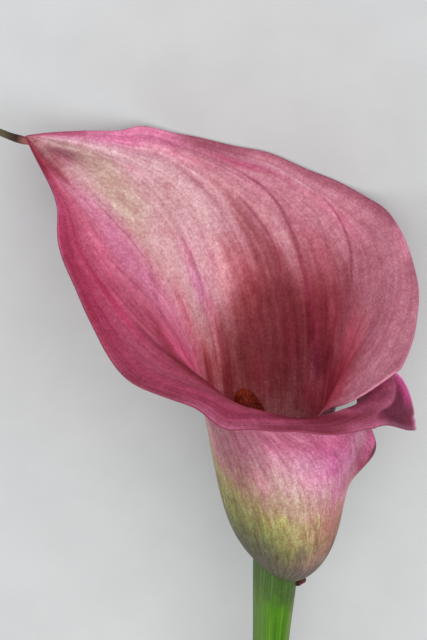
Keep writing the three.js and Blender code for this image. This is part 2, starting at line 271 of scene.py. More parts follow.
# Pigments lie over the ground in soft patches. A pigment is given by the red, green and blue light that a full
# coat lets through. A patch gives its middle (across from -1 to 1, up), its half sizes, how far it leans across
# for each step up, and its strength. Some patches paint light or shade instead of pigment, as noted below.
PIGMENTS = {
    "pale": (1.10, 1.40, 1.35),
    # a lightening coat: mostly painted light that lifts the paint where shade falls, and painted highlights; in
    # places a paler colour
    "pale_and_painted_light": (1.6, 1.55, 1.7),
    "khaki": (0.93, 1.08, 0.86),
    "lilac": (1.05, 0.66, 1.08),
    "blush": (1.3, 0.95, 1.25),
    "rose": (1.0, 0.37, 0.45),
    "olive": (0.75, 0.85, 0.80),
    "lemon": (1.10, 1.25, 0.80),
    "magenta": (0.85, 0.35, 0.60),
    "mauve": (0.60, 0.42, 0.50),
    "brown": (0.50, 0.42, 0.40),
    "umber": (1.1, 0.85, 0.7),
    "wine": (0.34, 0.105, 0.12),
}
INSIDE = {
    "pale": [
        ((-0.22, 0.63), (0.028, 0.08), -0.3, 0.6), ((-0.088, 0.48), (0.02, 0.08), 0, 1.0),
        # On the next three lines, (-0.445, 0.79) is a painted highlight on a fold between two veins, and (0.82, 0.86)
        # and (1.0, 0.87) are painted light, lifting the shade on the lip's upper part beside the gap.
        ((-0.445, 0.79), (0.02, 0.08), -0.3, 0.5), ((-0.77, 0.966), (0.08, 0.014), -1.2, 0.9),
        ((0.82, 0.86), (0.05, 0.04), 0, 1.0), ((0.16, 0.84), (0.06, 0.05), 0, 0.3),
        ((0.52, 0.9), (0.13, 0.05), 0, 0.5), ((1.0, 0.87), (0.03, 0.05), 0, 0.5),
    ],
    # mostly painted light: these lift the paint where shade falls, in the shadow under the far wall's edge beside the
    # gap, on the lip's upper part and in the hollows behind the lip; a few are a paler colour
    "pale_and_painted_light": [
        ((0.88, 0.865), (0.06, 0.06), 0.9, 0.9), ((0.9, 0.82), (0.05, 0.03), 0, 0.7),
        ((0.06, 0.7), (0.08, 0.09), 0.1, 0.25), ((-0.085, 0.47), (0.018, 0.06), 0, 0.5),
        ((-0.55, 0.92), (0.05, 0.035), -1.0, 0.5), ((-0.14, 0.885), (0.03, 0.03), 0, 0.6),
        ((0.22, 0.895), (0.08, 0.035), 0, 0.3), ((0.37, 0.9), (0.06, 0.03), 0, 0.45),
        ((-0.74, 0.925), (0.05, 0.03), -0.5, 0.5), ((0.96, 0.65), (0.04, 0.06), 0, 1.0),
        ((-0.56, 0.84), (0.05, 0.06), 0, 0.5), ((-0.71, 0.72), (0.04, 0.05), 0, 0.6),
        ((0.925, 0.76), (0.03, 0.07), 0.3, 1.0), ((0.28, 0.72), (0.09, 0.09), 0.2, 0.8),
        ((0.2, 0.62), (0.06, 0.05), 0, 0.7), ((0.1, 0.52), (0.04, 0.06), 0, 0.4),
        ((-0.27, 0.44), (0.06, 0.06), 0, 0.5), ((-0.4, 0.57), (0.05, 0.1), 0, 0.3),
        ((-0.8, 0.79), (0.05, 0.05), 0, 0.35), ((0.52, 0.945), (0.06, 0.025), 0, 0.45),
        ((-0.75, 0.75), (0.1, 0.08), 0, 0.35), ((-0.42, 0.94), (0.14, 0.02), 0, 0.35),
    ],
    "khaki": [
        ((-0.035, 0.83), (0.05, 0.15), -0.45, 0.9), ((-0.09, 0.91), (0.04, 0.05), -0.6, 0.6),
    ],
    "lilac": [
        ((0.1, 0.83), (0.08, 0.12), -0.1, 0.25), ((-0.42, 0.975), (0.32, 0.022), 0, 0.5),
        ((0.72, 0.95), (0.2, 0.06), 0, 0.45), ((0.75, 0.75), (0.2, 0.2), 0, 0.15),
        ((-0.075, 0.6), (0.04, 0.07), 0, 0.55),
    ],
    "blush": [
        ((0.15, 0.58), (0.14, 0.2), 0.3, 0.65), ((-0.1, 0.66), (0.1, 0.14), -0.2, 0.3),
        # the patch on the next line is painted light, lifting the shadow that the far wall's edge casts beside the
        # gap
        ((0.93, 0.74), (0.04, 0.1), 0.2, 0.4),
    ],
    "rose": [
        ((-0.9, 0.65), (0.3, 0.17), 0, 1.0), ((-0.66, 0.5), (0.16, 0.17), -0.3, 1.0),
        ((-0.04, 0.36), (0.14, 0.17), 0, 0.55), ((0.05, 0.53), (0.05, 0.12), -0.2, 0.45),
        ((0.01, 0.42), (0.03, 0.07), 0, 0.6), ((0.16, 0.5), (0.12, 0.2), 0.2, 0.5),
        ((-0.55, 0.7), (0.1, 0.12), -0.2, 0.35), ((-0.24, 0.66), (0.1, 0.12), -0.2, 0.35),
        ((-0.1, 0.53), (0.04, 0.07), 0, 0.35), ((-0.5, 0.48), (0.05, 0.08), 0, 0.7),
    ],
    "magenta": [
        ((0.4, 0.925), (0.04, 0.05), -0.5, 0.65), ((-0.66, 0.957), (0.08, 0.012), -1.5, 0.6),
        ((-0.09, 0.69), (0.014, 0.05), -0.2, 0.4), ((0.0, 0.93), (0.03, 0.04), 0, 0.4),
        ((-0.82, 0.63), (0.05, 0.06), 0, 0.4), ((0.05, 0.57), (0.04, 0.1), 0, 0.25),
    ],
    "mauve": [
        ((0.1, 0.735), (0.1, 0.018), 0, 0.3), ((-0.6, 0.58), (0.05, 0.05), 0, 0.35),
        ((-0.1, 0.39), (0.05, 0.05), 0, 0.35), ((-0.025, 0.93), (0.05, 0.03), 0, 0.55),
        ((-0.38, 0.84), (0.03, 0.05), -0.3, 0.2), ((-0.246, 0.777), (0.03, 0.06), -0.2, 0.35),
        ((0.4, 0.835), (0.05, 0.06), 0, 0.55), ((-0.92, 0.64), (0.06, 0.07), 0, 0.4),
    ],
    "brown": [
        ((0.0, 0.95), (0.05, 0.06), 2.0, 0.6), ((-0.03, 0.9), (0.03, 0.03), 0, 0.3),
        ((-0.09, 0.963), (0.04, 0.02), 0, 0.55), ((0.965, 0.445), (0.035, 0.03), 0, 0.9),
        ((0.0, 0.92), (0.04, 0.04), 0, 0.3),
    ],
    "umber": [
        ((-0.3, 0.38), (0.35, 0.12), 0, 0.45),
    ],
    "wine": [
        ((-0.43, 0.64), (0.17, 0.13), -0.2, 0.9), ((-0.31, 0.6), (0.1, 0.1), -0.3, 0.75),
        ((-0.27, 0.48), (0.21, 0.14), -0.4, 0.95), ((-0.25, 0.61), (0.07, 0.09), -0.3, 0.6),
        ((-0.33, 0.57), (0.05, 0.05), 0, 0.35), ((-0.55, 0.6), (0.05, 0.07), -0.3, 0.55),
        ((-0.38, 0.74), (0.04, 0.08), -0.25, 0.3), ((-0.35, 0.53), (0.05, 0.05), 0, 0.35),
        ((0.0, 0.4), (0.03, 0.06), 0, 0.45), ((0.965, 0.445), (0.035, 0.03), 0, 0.5),
        ((-0.15, 0.38), (0.06, 0.06), 0, 0.4), ((-0.34, 0.78), (0.035, 0.1), -0.25, 0.45),
        ((-0.58, 0.79), (0.12, 0.09), 0, 0.4), ((-0.27, 0.72), (0.06, 0.06), -0.2, 0.25),
        ((-0.54, 0.71), (0.08, 0.07), -0.2, 0.3), ((0.08, 0.955), (0.05, 0.04), 2.0, 0.55),
        # the first patch on the next line is a painted shadow: the dark band slanting along the lip's crease
        ((0.8, 0.9), (0.07, 0.08), 2.5, 0.6), ((0.42, 0.79), (0.22, 0.04), 0.35, 0.4),
    ],
}
OUTSIDE = {
    "pale": [
        ((0.62, 0.6), (0.15, 0.08), 0, 0.35),
    ],
    # mostly painted light: a painted highlight on the curl's top, and painted light lifting the shade under the lip;
    # the rest lighten the colour
    "pale_and_painted_light": [
        ((0.963, 0.497), (0.016, 0.026), 0, 0.7), ((0.25, 0.22), (0.08, 0.1), 0, 0.6),
        ((0.45, 0.46), (0.05, 0.06), 0, 0.6), ((0.37, 0.27), (0.04, 0.05), 0, 0.4),
        ((0.52, 0.63), (0.03, 0.03), 0, 0.35), ((0.9, 0.32), (0.05, 0.13), -0.1, 0.4),
        ((0.76, 0.69), (0.06, 0.05), 0, 0.5), ((0.63, 0.26), (0.06, 0.05), 0, 0.45),
        ((0.66, 0.53), (0.1, 0.05), 0, 0.3), ((0.75, 0.16), (0.1, 0.07), 0, 0.75), ((0.2, 0.42), (0.07, 0.1), 0, 0.4),
        ((0.92, 0.2), (0.06, 0.09), 0, 0.5),
    ],
    "lilac": [
        ((0.84, 0.45), (0.18, 0.24), -0.3, 1.0), ((0.7, 0.62), (0.18, 0.12), 0, 0.45),
        ((0.85, 0.24), (0.16, 0.14), -0.3, 0.5), ((0.27, 0.41), (0.08, 0.09), 0, 0.6),
        # the second patch on the next line tints the painted highlight on the curl's top lilac
        ((0.79, 0.37), (0.05, 0.09), 0, 0.45), ((0.963, 0.497), (0.02, 0.03), 0, 0.8),
    ],
    "blush": [
        ((0.82, 0.23), (0.2, 0.22), -0.3, 1.0), ((0.7, 0.14), (0.1, 0.1), 0, 0.8),
        ((0.94, 0.27), (0.08, 0.12), -0.1, 0.7),
    ],
    "olive": [
        ((0.38, 0.22), (0.2, 0.14), -0.2, 1.0), ((0.0, 0.4), (0.14, 0.4), 0, 0.8),
        ((-0.5, 0.22), (0.3, 0.14), 0, 0.6),
    ],
    "lemon": [
        ((0.48, 0.27), (0.04, 0.07), -0.2, 0.6), ((0.54, 0.33), (0.03, 0.07), -0.2, 0.6),
        ((0.57, 0.2), (0.04, 0.05), -0.2, 0.6), ((0.3, 0.22), (0.05, 0.04), -0.2, 0.5),
        ((-0.3, 0.3), (0.1, 0.07), 0, 0.5),
    ],
    "magenta": [
        ((0.96, 0.46), (0.07, 0.09), 0, 0.9), ((0.8, 0.6), (0.1, 0.1), 0, 0.2),
    ],
    "mauve": [
        ((0.33, 0.52), (0.19, 0.2), -0.2, 1.0), ((-0.4, 0.5), (0.14, 0.2), 0, 0.6),
        # the first patch on the next line is painted shade along the fold on the curl's left side
        ((0.9, 0.48), (0.035, 0.08), -0.2, 0.8), ((0.43, 0.6), (0.04, 0.05), 0, 0.4),
        ((0.5, 0.67), (0.05, 0.03), 0, 0.5),
    ],
}

# The ear's colours beyond its fold, high up and low down. Places are centimetres from the sheet's side margin.
# The whitish first stops are a painted highlight along the margin, the bright magenta is partly painted light and
# the dark plum is partly painted shade.
EAR_HIGH = [
    (0.0, colour(255, 234, 244)),
    (0.2, colour(250, 206, 228)),
    (0.3, colour(234, 150, 196)),
    (0.42, colour(208, 80, 148)),
    (0.55, colour(194, 60, 128)),
    (0.75, colour(160, 42, 94)),
    (0.95, colour(104, 26, 56)),
]
EAR_LOW = [
    (0.0, colour(250, 214, 228)),
    (0.18, colour(224, 162, 188)),
    (0.28, colour(164, 70, 110)),
    (0.5, colour(110, 25, 56)),
    (1.0, colour(94, 24, 52)),
]

# Bands along the rim, on the inside: the middle and half width across the sheet (from -1 to 1), the depth in
# millimetres and the strength.
RIM_BANDS = {
    "pale": [
        (0.13, 0.1, 1.0, 0.9),
    ],
    "pale_and_painted_light": [
        (-0.12, 0.07, 8, 0.75), (0.09, 0.05, 2.5, 0.7), (-0.66, 0.06, 5, 0.6),
    ],
    "lilac": [
        (-0.12, 0.09, 10, 0.4),
    ],
    "magenta": [
        (-0.03, 0.035, 2.5, 0.7), (0.15, 0.12, 8, 0.3),
    ],
    "rose": [
        (0.2, 0.12, 7, 0.25), (0.27, 0.06, 2, 0.4),
    ],
    "mauve": [
        (-0.24, 0.06, 5.5, 1.0), (-0.33, 0.09, 2, 0.7), (-0.41, 0.06, 3, 0.6), (-0.52, 0.13, 4, 1.0),
        (-0.75, 0.05, 4, 0.5),
    ],
    "wine": [
        (0.012, 0.022, 6, 0.55), (0.38, 0.06, 4, 0.4), (0.66, 0.12, 4.5, 0.55),
    ],
}

# The main veins on the inside: strength, half width in millimetres, then (up, across) from low to high.
VEINS = [
    (0.8, 0.6, [(0.79, -0.652), (0.84, -0.664), (0.88, -0.69), (0.92, -0.73), (0.95, -0.775), (0.975, -0.83)]),
    (0.4, 0.6, [(0.79, -0.565), (0.85, -0.60), (0.89, -0.635), (0.93, -0.68)]),
    (0.9, 0.8, [(0.52, -0.54), (0.60, -0.52), (0.66, -0.51), (0.72, -0.485), (0.80, -0.482), (0.85, -0.50),
                (0.89, -0.525), (0.93, -0.56), (0.96, -0.60)]),
    (0.8, 0.55, [(0.69, -0.39), (0.78, -0.40), (0.85, -0.40), (0.90, -0.42)]),
    (0.4, 0.9, [(0.70, -0.30), (0.78, -0.285), (0.86, -0.30), (0.93, -0.33)]),
    (0.35, 0.8, [(0.78, -0.895), (0.83, -0.90), (0.89, -0.93)]),
    (0.4, 0.9, [(0.55, -0.08), (0.66, -0.088), (0.74, -0.095), (0.82, -0.105)]),
    (0.4, 0.6, [(0.50, -0.40), (0.60, -0.395), (0.68, -0.41)]),
    (0.5, 0.6, [(0.72, 0.055), (0.80, 0.052), (0.90, 0.045)]),
    (0.45, 0.5, [(0.74, 0.165), (0.80, 0.17), (0.86, 0.185), (0.93, 0.21)]),
    (0.45, 0.5, [(0.76, 0.25), (0.84, 0.245), (0.90, 0.23), (0.94, 0.24)]),
    (0.4, 0.5, [(0.80, 0.33), (0.87, 0.32), (0.93, 0.31)]),
    (0.4, 0.6, [(0.82, 0.46), (0.88, 0.46), (0.94, 0.48)]),
    (0.5, 0.7, [(0.84, 0.58), (0.90, 0.56), (0.95, 0.55)]),
    (0.4, 0.6, [(0.86, 0.72), (0.91, 0.74), (0.96, 0.8)]),
]


def wash(vein, up, patches):
    """How much of a pigment each point gets from its patches."""
    clear = np.ones_like(up)
    for (side, high), (wide, tall), lean, strength in patches:
        x = (vein - side - lean * (up - high)) / wide
        away = np.hypot(x, (up - high) / tall)
        clear *= 1 - strength * (1 - smooth((away - 0.2) / 1.1))
    return 1 - clear


def rim_wash(across, to_rim, bands):
    """How much of a pigment each point gets from its bands along the rim."""
    clear = np.ones_like(to_rim)
    for middle, half, depth, strength in bands:
        along = 1 - smooth((np.abs(across - middle) / half - 0.4) / 0.8)
        clear *= 1 - strength * along * (1 - smooth(to_rim / depth))
    return 1 - clear


def vein_lines(vein, up, mm_across):
    """How much ink each point gets from the nearest main vein, and how many half widths it is away from it."""
    ink, off = np.zeros_like(up), np.full_like(up, 9.0)
    for strength, half_width, knots in VEINS:
        low, high = knots[0][0], knots[-1][0]
        away = (vein - through(up, *zip(*knots))) * mm_across / half_width
        ends = smooth((up - low) / 0.05) * smooth((high - up) / 0.05) * (up > low) * (up < high)
        amount = strength * ends * smooth((6 - np.abs(away)) / 3)
        off = np.where(amount > ink, away, off)
        ink = np.maximum(ink, amount)
    return ink, off


# ---------------------------------------------------------------- the spathe

COLUMNS, ROWS = 300, 148
MIDRIB_CROWDING, RIM_CROWDING = 1.25, 1.1  # above 1 the mesh is denser there
THICKNESS, MARGIN_THICKNESS, MARGIN_WIDTH = 0.8, 0.45, 9
NICKS = [(0.475, 0.008, 1.6), (0.955, 0.01, 1.6)]  # in the near margin: up, half height, depth in degrees
NICK_START, NICK_FADE = 0.96, 0.04
# The veins keep their places across the sheet low down and run out to its margins near the rim.
VEIN_SPREAD = 5
# Low swells between the veins: waves across the sheet, height. They fade towards the base, the edges and the margins.
SWELLS = [(5, 0.25), (9, 0.16), (15, 0.08), (27, 0.03)]
SWELL_START, SWELL_FADE, SWELL_EDGE, SWELL_MARGIN = 0.3, 0.4, 8, 8
GROOVE_DEPTH, GROOVE_WIDTH = 0.16, 2.0
EAR_FROM = 0.6  # the ear is only the upper part of the near margin


def blade():
    c = np.linspace(-1, 1, COLUMNS + 1)
    across, q = np.meshgrid(np.sign(c) * np.abs(c) ** MIDRIB_CROWDING,
                            1 - (1 - np.linspace(0, 1, ROWS + 1)) ** RIM_CROWDING, indexing="ij")
    turn = across * margin_turn(across, q)
    for up, height, depth in NICKS:
        turn -= depth * bell(q, up, height) * smooth((across - NICK_START) / NICK_FADE)
    x = np.abs(across)
    spread = 1 - q ** VEIN_SPREAD
    vein = np.sign(across) * x / np.maximum(x + (1 - x) * spread, 1e-9)
    middle = sheet(turn, q)

    def normals(grid):
        n = np.cross(np.gradient(grid, axis=0), np.gradient(grid, axis=1))
        return n / np.maximum(np.linalg.norm(n, axis=-1, keepdims=True), 1e-12)

    across_mm = np.linalg.norm(np.gradient(middle, axis=0), axis=-1)
    up_mm = np.linalg.norm(np.gradient(middle, axis=1), axis=-1)
    to_side = np.minimum(np.cumsum(across_mm, 0), np.cumsum(across_mm[::-1], 0)[::-1])
    to_rim = np.cumsum(up_mm[:, ::-1], 1)[:, ::-1] - up_mm[:, -1:]
    edge = np.minimum(to_rim, to_side)

    swell = np.zeros_like(q)
    for cycles, height in SWELLS:
        phase, drift = rng.uniform(0, 2 * math.pi, 2)
        swell += height * np.cos(math.pi * cycles * vein + phase + 0.8 * np.sin(4 * q + drift))
    swell *= smooth((q - SWELL_START) / SWELL_FADE) * smooth(edge / SWELL_EDGE)
    swell *= smooth((1 - np.abs(vein)) * SWELL_MARGIN)
    mm_across = across_mm / np.maximum(np.gradient(vein, axis=0), 1e-6)
    ink, off = vein_lines(vein, q, mm_across)
    swell -= GROOVE_DEPTH * ink * bell(off, 0, GROOVE_WIDTH)
    length, full = line_lengths(turn)
    beyond = q * full - length + EAR_EARLY
    ear = ear_share(turn) * (q > EAR_FROM)
    middle = middle + normals(middle) * swell[..., None]

    n = normals(middle)
    half = (MARGIN_THICKNESS + (THICKNESS - MARGIN_THICKNESS) * smooth(edge / MARGIN_WIDTH)) / 2
    inner = middle + n * half[..., None]
    outer = middle - n * half[..., None]
    outwards = n[COLUMNS // 2, ROWS // 2, :2] @ middle[COLUMNS // 2, ROWS // 2, :2] > 0
    if outwards:
        inner, outer = outer, inner

    per, back = ROWS + 1, (COLUMNS + 1) * (ROWS + 1)
    faces, slots = [], []

    def at(i, j):
        return i * per + j

    for i in range(COLUMNS):
        for j in range(ROWS):
            a, b, c, d = at(i, j), at(i + 1, j), at(i + 1, j + 1), at(i, j + 1)
            faces.append((d, c, b, a))
            faces.append((back + a, back + b, back + c, back + d))
            slots += [0, 1]
    border = [at(i, 0) for i in range(COLUMNS)] + [at(COLUMNS, j) for j in range(ROWS)]
    border += [at(i, ROWS) for i in range(COLUMNS, 0, -1)] + [at(0, j) for j in range(ROWS, 0, -1)]
    for k, a in enumerate(border):
        b = border[(k + 1) % len(border)]
        faces.append((a, b, back + b, back + a))
        slots.append(2)
    points = np.concatenate([inner.reshape(-1, 3), outer.reshape(-1, 3)])
    attributes = {"vein": vein, "up": q, "rim": to_rim, "aside": to_side,
                  "ear": ear, "beyond": beyond, "ink": ink, "off": off}
    attributes = {key: np.tile(values.ravel(), 2) for key, values in attributes.items()}
    for pigment in PIGMENTS:
        skins = [wash(vein, q, patches.get(pigment, ())).ravel() for patches in (INSIDE, OUTSIDE)]
        band = rim_wash(across, to_rim, RIM_BANDS.get(pigment, ())).ravel()
        skins[0] = 1 - (1 - skins[0]) * (1 - band)
        attributes[pigment] = np.concatenate(skins)
    return make_mesh("spathe_blade", points, faces, attributes, slots)


TAIL_LENGTH, TAIL_RISE, TAIL_SAG, TAIL_ROOT = 13, 2, 0.8, 0.975
TAIL_RADIUS = [0, 0.2, 0.4, 0.8, 0.96, 1], [0.5, 0.85, 0.78, 0.6, 0.52, 0.2]


def tail():
    """The thin end of the point."""
    tip, inside = sheet(np.zeros(1), np.ones(1))[0], sheet(np.zeros(1), np.full(1, TAIL_ROOT))[0]
    out = (tip - inside) * (1, 1, 0)
    out /= np.linalg.norm(out)
    t = np.linspace(0, 1, 60)
    path = bezier(inside, tip + out * TAIL_LENGTH * 0.4 - (0, 0, TAIL_SAG),
                  tip + out * TAIL_LENGTH + (0, 0, TAIL_RISE), t)
    radii = through(t, *TAIL_RADIUS)[:, None] * (1 + 0.07 * np.cos(3 * angles(20) + 9 * t[:, None]))
    return swept("spathe_tail", path, radii)


SCAR_TURN, SCAR_RADIUS = 205.0, 0.8


def scar():
    """The torn corner where the outer margin starts at the base."""
    t = np.linspace(0, 1, 20)
    foot = sheet(np.full(1, SCAR_TURN), np.zeros(1))[0]
    path = bezier(foot + (-0.6, -0.6, -1.6), foot + (0.6, -1.2, -1.3), foot + (1.1, -1.6, 0.4), t)
    radius = SCAR_RADIUS * np.sqrt(np.clip(1 - t ** 3, 0.02, 1))
    a, t = angles(24)[None], t[:, None]
    radii = radius[:, None] * (1 + 0.16 * np.cos(3 * a + 5 * t) + 0.07 * np.cos(7 * a - 8 * t))
    return swept("spathe_scar", path, radii)


# ---------------------------------------------------------------- stem and spadix

STEM_LENGTH, STEM_RADIUS, STEM_TOP_RADIUS, STEM_FLARE, STEM_GAP = 180, 4.0, 4.8, 18, 0.7
STEM_LEAN, STEM_BOW = 2.8, 0.35


def seat_height(x):
    """The stem's sloping top, where the spathe and the spadix sit."""
    return BASE_HEIGHT - STEM_GAP - BASE_TILT * x


def stem_axis(z):
    below = np.maximum(-z, 0)
    return -math.tan(math.radians(STEM_LEAN)) * below * (1 - STEM_BOW * below / STEM_LENGTH)


# The rings of the cut end, from its middle outwards: share of the radius, how far in. The skin stands a little past
# the softer core.
CUT_RINGS = [(0.12, 0.32), (0.35, 0.3), (0.6, 0.26), (0.8, 0.18), (0.9, 0.0), (0.97, -0.12)]
TOP_RINGS = [0.92, 0.75, 0.5, 0.2]


def stem():
    around, rings = 120, 150
    z = -STEM_LENGTH * np.linspace(1, 0, rings)[:, None] ** 1.4
    a = angles(around)[None]
    near = smooth((z + STEM_FLARE) / STEM_FLARE)
    radius = STEM_RADIUS + (STEM_TOP_RADIUS - STEM_RADIUS) * near
    # faint ribs run the stem's length
    ribs = 0.035 * np.cos(22 * a + 0.4 * np.sin(z / 20)) + 0.02 * np.cos(37 * a + 1)
    radius = radius + ribs * (1 - near)
    x, y = radius * np.cos(a), radius * np.sin(a)
    body = np.stack([stem_axis(z) + x, y + 0 * z, z + near * seat_height(x)], -1)
    cut = [np.stack([stem_axis(z[0]) + x[0] * share, y[0] * share, z[0] + sunk + 0 * x[0]], -1)
           for share, sunk in CUT_RINGS]
    top = []
    for share in TOP_RINGS:
        ring = body[-1] * (share, share, 1)
        ring[:, 2] = seat_height(ring[:, 0])
        top.append(ring)
    stack = np.concatenate([np.stack(cut), body, np.stack(top)])
    core = np.concatenate([[share for share, _ in CUT_RINGS], np.ones(rings + len(TOP_RINGS))])
    n = len(stack)
    angle = np.repeat(a, n, 0)
    values = {"core": each_round(core, around), "level": each_round(stack[:, :, 2].mean(1), around),
              "wave_a": np.cos(angle), "wave_b": np.sin(angle)}
    return make_mesh("stem_body", stack.reshape(-1, 3), closed_rings(n, around), values)


SPADIX_TOP, SPADIX_RADIUS, SPADIX_FOOT_RADIUS, SPADIX_GAP = 47, 3.9, 2.5, 0.3
SPADIX_TAPER, SPADIX_TAPER_START, SPADIX_DOME = 0.55, 0.6, 0.84
FLORETS, FLORET_RADIUS, FLORET_HEIGHT, FLORET_EYE = 1500, 0.5, 0.4, 0.1
FLORET_JITTER_UP, FLORET_JITTER_ROUND = 0.0015, 0.03
# The florets stand in spirals: each turns by the golden angle from the one below.
GOLDEN_ANGLE = 137.508


def spadix():
    around, rings = 190, 300
    height = SPADIX_TOP - BASE_HEIGHT
    knots = np.array([[0, 0, BASE_HEIGHT], [-0.8, 0.2, 0.32 * SPADIX_TOP], [-3.3, 1.0, 0.65 * SPADIX_TOP],
                      [-7.5, 2.2, SPADIX_TOP]])
    t = np.linspace(0, 0.999, rings)
    path = np.stack([through(t, [0, 1 / 3, 2 / 3, 1], knots[:, k]) for k in range(3)], -1)
    body = SPADIX_FOOT_RADIUS + (SPADIX_RADIUS - SPADIX_FOOT_RADIUS) * smooth(t / 0.25)
    body -= SPADIX_TAPER * smooth((t - SPADIX_TAPER_START) / 0.4)
    dome = np.sqrt(np.clip(1 - np.clip((t - SPADIX_DOME) / 0.16, 0, None) ** 2, 0.0004, None))
    k = np.arange(FLORETS)
    floret_t = 0.06 + 0.943 * (k + 0.5) / FLORETS
    floret_t += rng.normal(0, FLORET_JITTER_UP, FLORETS)
    floret_a = np.mod(k * math.radians(GOLDEN_ANGLE) + rng.normal(0, FLORET_JITTER_ROUND, FLORETS), 2 * np.pi)
    size = rng.uniform(0.8, 1.25, FLORETS)
    shades = rng.uniform(0, 1, FLORETS)
    a = angles(around)
    bumps, mark, tone = np.zeros((3, rings, around))
    for ft, fa, fs, shade in zip(floret_t, floret_a, size, shades):
        dz = (t * height - ft * height)[:, None]
        turn = np.mod(a - fa + np.pi, 2 * np.pi) - np.pi
        da = turn[None] * (body * np.maximum(dome, 0.25))[:, None]
        d = np.sqrt(dz ** 2 + da ** 2) / (FLORET_RADIUS * fs)
        new = np.sqrt(np.clip(1 - d * d, 0, 1))
        tone = np.where(new > bumps, shade, tone)
        mark = np.where(new > bumps, bell(d, 0, 0.35), mark)
        bumps = np.maximum(bumps, new)
    relief = (FLORET_HEIGHT * (bumps - 0.6) - FLORET_EYE * mark) * smooth((t - 0.04) / 0.05)[:, None]
    radii = body[:, None] * dome[:, None] + relief * np.minimum(dome * 1.6, 1)[:, None]
    points = rings_along(path, radii, (0, 1, 0))
    # the foot follows the slope of the stem's top
    foot = points[..., 2] - BASE_HEIGHT
    seat = seat_height(points[..., 0]) + SPADIX_GAP + np.maximum(foot, 0)
    blend = smooth(foot / 12)
    points[..., 2] = seat * (1 - blend) + points[..., 2] * blend
    values = {"dome": bumps, "eye": mark, "tone": tone}
    return make_mesh("spadix_florets", points.reshape(-1, 3), closed_rings(rings, around), values)


# ---------------------------------------------------------------- materials

class Paint:
    """Builds a material's nodes."""

    def __init__(self, name, roughness, specular):
        self.mat = bpy.data.materials.new(name)
        self.mat.use_nodes = True
        self.tree = self.mat.node_tree
        self.shader = self.tree.nodes["Principled BSDF"]
        self.shader.inputs["Roughness"].default_value = roughness
        self.shader.inputs["Specular IOR Level"].default_value = specular

    def node(self, kind, **settings):
        made = self.tree.nodes.new(kind)
        for key, value in settings.items():
            setattr(made, key, value)
        return made

    def put(self, socket, value):
        if isinstance(value, bpy.types.NodeSocket):
            self.tree.links.new(value, socket)
        else:
            socket.default_value = value

    def attribute(self, name):
        return self.node("ShaderNodeAttribute", attribute_name=name).outputs["Fac"]

    def math(self, operation, a, b=0.0, c=0.0):
        made = self.node("ShaderNodeMath", operation=operation)
        self.put(made.inputs[0], a)
        self.put(made.inputs[1], b)
        if operation == "MULTIPLY_ADD":
            self.put(made.inputs[2], c)
        return made.outputs[0]

    def add(self, a, b):
        return self.math("ADD", a, b)

    def minus(self, a, b):
        return self.math("SUBTRACT", a, b)

    def times(self, a, b):
        return self.math("MULTIPLY", a, b)

    def times_add(self, a, b, c):
        return self.math("MULTIPLY_ADD", a, b, c)

    def ease(self, value, low, high, start=0.0, end=1.0):
        """From start to end, smoothly, as value goes from low to high."""
        made = self.node("ShaderNodeMapRange", interpolation_type="SMOOTHSTEP")
        self.put(made.inputs[0], value)
        flip = low > high
        self.put(made.inputs[1], high if flip else low)
        self.put(made.inputs[2], low if flip else high)
        self.put(made.inputs[3], end if flip else start)
        self.put(made.inputs[4], start if flip else end)
        return made.outputs[0]

    def bump_at(self, value, middle, width):
        """1 at the middle, 0 from width away on both sides."""
        off = self.math("ABSOLUTE", self.minus(value, middle))
        return self.ease(off, width, 0.0)

    def vector(self, x, y, z=0.0):
        made = self.node("ShaderNodeCombineXYZ")
        for socket, value in zip(made.inputs, (x, y, z)):
            self.put(socket, value)
        return made.outputs[0]

    def position(self):
        return self.node("ShaderNodeTexCoord").outputs["Object"]

    def noise(self, vector, scale, detail, roughness=0.55):
        made = self.node("ShaderNodeTexNoise")
        self.put(made.inputs["Vector"], vector)
        made.inputs["Scale"].default_value = scale
        made.inputs["Detail"].default_value = detail
        made.inputs["Roughness"].default_value = roughness
        return made.outputs["Fac"]

    def ramp(self, value, stops, ease="EASE"):
        made = self.node("ShaderNodeValToRGB")
        made.color_ramp.interpolation = ease
        self.put(made.inputs[0], value)
        elements = made.color_ramp.elements
        while len(elements) > 1:
            elements.remove(elements[-1])
        elements[0].position, elements[0].color = stops[0]
        for place, shade in stops[1:]:
            elements.new(place).color = shade
        return made.outputs[0]

    def mix(self, share, a, b, kind="MIX"):
        made = self.node("ShaderNodeMix", data_type="RGBA", blend_type=kind)
        self.put(made.inputs[0], share)
        self.put(made.inputs[6], a)
        self.put(made.inputs[7], b)
        return made.outputs[2]

    def finish(self, base, height=None, strength=0.3, distance=0.0003):
        self.put(self.shader.inputs["Base Color"], base)
        if height is not None:
            bump = self.node("ShaderNodeBump")
            bump.inputs["Strength"].default_value = strength
            bump.inputs["Distance"].default_value = distance
            self.put(bump.inputs["Height"], height)
            self.put(self.shader.inputs["Normal"], bump.outputs[0])
        return self.mat


def streaks(p, vein, up, fine, long, seed, detail=3.0):
    """Noise drawn out along the veins: about "fine" streaks across half the sheet and "long" from base to rim."""
    return p.noise(p.vector(p.times(vein, fine), p.times(up, long), seed), 1.0, detail, 0.6)


def swing(p, noise):
    """Noise that swings about zero."""
    return p.minus(noise, 0.5)


def clouds_of(p, scale):
    return p.noise(p.position(), scale, 4.0, 0.6)


def specks_of(p, scale):
    return p.noise(p.position(), scale, 2.0, 0.7)


def coat(tint, reach=1.0):
    """The stops of a ramp from no pigment to "reach" full coats of it: each further coat multiplies again."""
    return [(t, tuple(v ** (t * reach) for v in tint) + (1,)) for t in (0.0, 0.2, 0.4, 0.6, 0.8, 1.0)]


